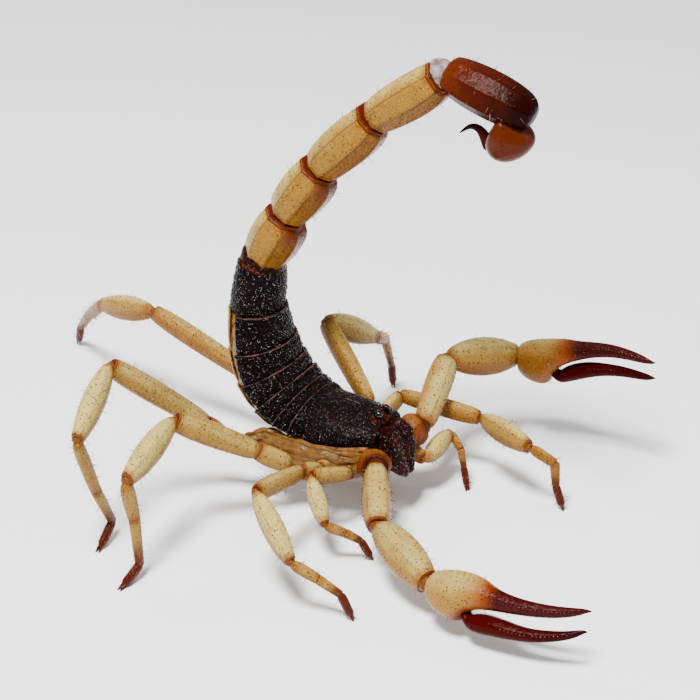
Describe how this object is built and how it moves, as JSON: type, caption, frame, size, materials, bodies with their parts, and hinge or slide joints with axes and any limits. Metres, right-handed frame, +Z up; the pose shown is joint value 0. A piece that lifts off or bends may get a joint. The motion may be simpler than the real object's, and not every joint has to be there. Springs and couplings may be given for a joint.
{
  "type": "desert scorpion model",
  "caption": "Life-size still model of a desert scorpion standing with its pincers forward and its tail arched up over its back, the sting folded under the end.",
  "frame": {"origin": "on the floor, under the middle of the box round the whole animal", "axes": "+Z up, the head faces -Y, the animal's own left is +X"},
  "size_m": [0.0676, 0.1066, 0.0667],
  "materials": {
    "straw_cuticle": "translucent straw-yellow cuticle with fine dark specks, satin",
    "amber_cuticle": "amber to red-brown cuticle, satin to glossy",
    "dark_cuticle": "near-black granular cuticle with glints on the grains",
    "chestnut_cuticle": "chestnut to wine-red cuticle, glossy",
    "eye_lens": "black, wet-looking lens"
  },
  "bodies": {
    "root": {"carapace": "dark_cuticle", "median_eye_right": "eye_lens", "median_eye_left": "eye_lens", "chelicera_right": "dark_cuticle", "chelicera_left": "dark_cuticle", "coxosternum": "amber_cuticle", "pecten_right": "straw_cuticle", "pecten_left": "straw_cuticle", "mesosoma_1": "dark_cuticle", "mesosoma_2": "dark_cuticle", "mesosoma_3": "dark_cuticle", "mesosoma_4": "dark_cuticle", "mesosoma_5": "dark_cuticle", "mesosoma_6": "dark_cuticle", "mesosoma_7": "dark_cuticle", "metasoma_1": "straw_cuticle", "metasoma_2": "straw_cuticle", "metasoma_3": "straw_cuticle", "metasoma_4": "straw_cuticle", "metasoma_5": "chestnut_cuticle", "vesicle": "amber_cuticle", "aculeus": "chestnut_cuticle", "palp_right_trochanter": "amber_cuticle", "palp_right_femur": "straw_cuticle", "palp_right_patella": "straw_cuticle", "palp_right_manus": "straw_cuticle", "palp_right_movable_finger": "chestnut_cuticle", "palp_left_trochanter": "amber_cuticle", "palp_left_femur": "straw_cuticle", "palp_left_patella": "straw_cuticle", "palp_left_manus": "straw_cuticle", "palp_left_movable_finger": "chestnut_cuticle", "leg_right_1_femur": "straw_cuticle", "leg_right_1_patella": "straw_cuticle", "leg_right_1_tarsus": "amber_cuticle", "leg_right_2_femur": "straw_cuticle", "leg_right_2_patella": "straw_cuticle", "leg_right_2_tarsus": "amber_cuticle", "leg_right_3_femur": "straw_cuticle", "leg_right_3_patella": "straw_cuticle", "leg_right_3_tarsus": "amber_cuticle", "leg_right_4_femur": "straw_cuticle", "leg_right_4_patella": "straw_cuticle", "leg_right_4_tarsus": "amber_cuticle", "leg_left_1_femur": "straw_cuticle", "leg_left_1_patella": "straw_cuticle", "leg_left_1_tarsus": "amber_cuticle", "leg_left_2_femur": "straw_cuticle", "leg_left_2_patella": "straw_cuticle", "leg_left_2_tarsus": "amber_cuticle", "leg_left_3_femur": "straw_cuticle", "leg_left_3_patella": "straw_cuticle", "leg_left_3_tarsus": "amber_cuticle", "leg_left_4_femur": "straw_cuticle", "leg_left_4_patella": "straw_cuticle", "leg_left_4_tarsus": "amber_cuticle"}
  },
  "joints": []
}
